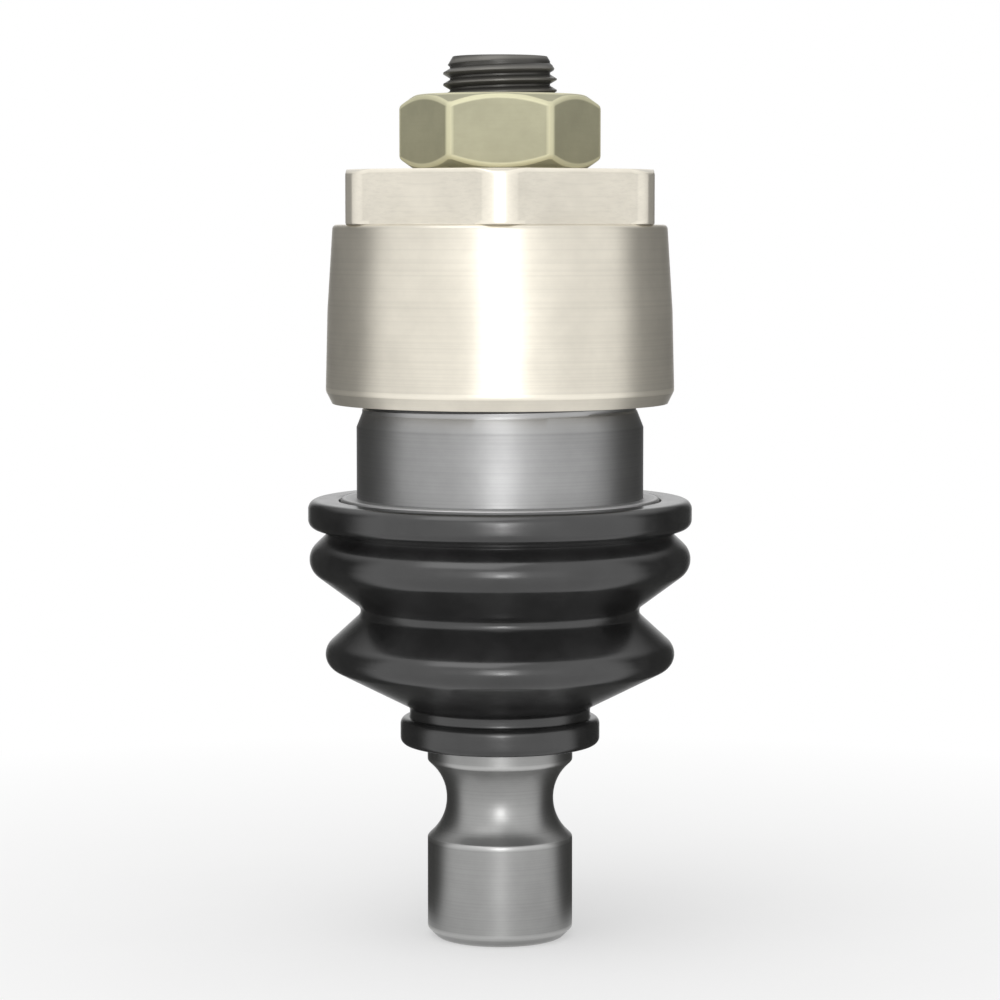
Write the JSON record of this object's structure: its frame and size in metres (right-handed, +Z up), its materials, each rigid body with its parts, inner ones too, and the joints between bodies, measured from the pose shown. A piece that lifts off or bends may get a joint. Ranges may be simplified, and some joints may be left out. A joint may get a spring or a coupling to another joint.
{
  "type": "suspension ball joint",
  "caption": "Adjustable suspension ball joint that clamps into a plate arm, with a ball stud, race, threaded housing, hexagon cap, adjusting screw with jam nut, and bellows boot.",
  "frame": {"origin": "centre of the ball, on the joint's axis, inside the span of the arm seat", "axes": "+Z up the joint's axis from the stud to the cap, -Y to the front, where a corner of the cap's hexagon points"},
  "size_m": [0.0488, 0.0488, 0.1118],
  "materials": {
    "black_oxide": "black oxide",
    "yellow_zinc": "pale yellow zinc plate",
    "bright_plate": "bright nickel plate",
    "ground_steel": "satin ground",
    "turned_steel": "turned",
    "forged_steel": "turned and polished",
    "rubber": "semi-gloss"
  },
  "bodies": {
    "housing": {"housing": "turned_steel", "boot_upper_lip": "rubber"},
    "boot_bellows": {"boot_bellows": "rubber"},
    "boot_lip": {"boot_lower_lip": "rubber"},
    "stud": {"stud": "forged_steel"},
    "cap": {"cap": "bright_plate"},
    "race": {"race": "ground_steel"},
    "adjuster": {"adjuster_screw": "black_oxide"},
    "jam_nut": {"jam_nut": "yellow_zinc"}
  },
  "joints": [
    {"name": "stud_tilt_x", "type": "hinge", "parent": "housing", "child": "boot_bellows", "pos_m": [0, 0, 0], "axis": [1, 0, 0], "range_deg": [-20, 20], "deforming": ["boot_bellows"]},
    {"name": "stud_tilt_y", "type": "hinge", "parent": "boot_bellows", "child": "boot_lip", "pos_m": [0, 0, 0], "axis": [0, 1, 0], "range_deg": [-20, 20], "deforming": ["boot_bellows"]},
    {"name": "stud_spin", "type": "hinge", "parent": "boot_lip", "child": "stud", "pos_m": [0, 0, 0], "axis": [0, 0, 1], "continuous": true},
    {"name": "cap_lift", "type": "slide", "parent": "housing", "child": "cap", "axis": [0, 0, 1], "range_m": [0, 0.06]},
    {"name": "adjuster_travel", "type": "slide", "parent": "cap", "child": "race", "axis": [0, 0, 1], "range_m": [0, 0.00564]},
    {"name": "adjuster_turn", "type": "hinge", "parent": "race", "child": "adjuster", "pos_m": [0, 0, 0], "axis": [0, 0, 1], "range_deg": [0, 1440]},
    {"name": "jam_nut_turn", "type": "hinge", "parent": "cap", "child": "jam_nut", "pos_m": [0, 0, 0], "axis": [0, 0, 1], "range_deg": [0, 90]}
  ],
  "couplings": [
    {"joint": "adjuster_turn", "follows": "adjuster_travel", "rad_per_m": 4452.7}
  ]
}
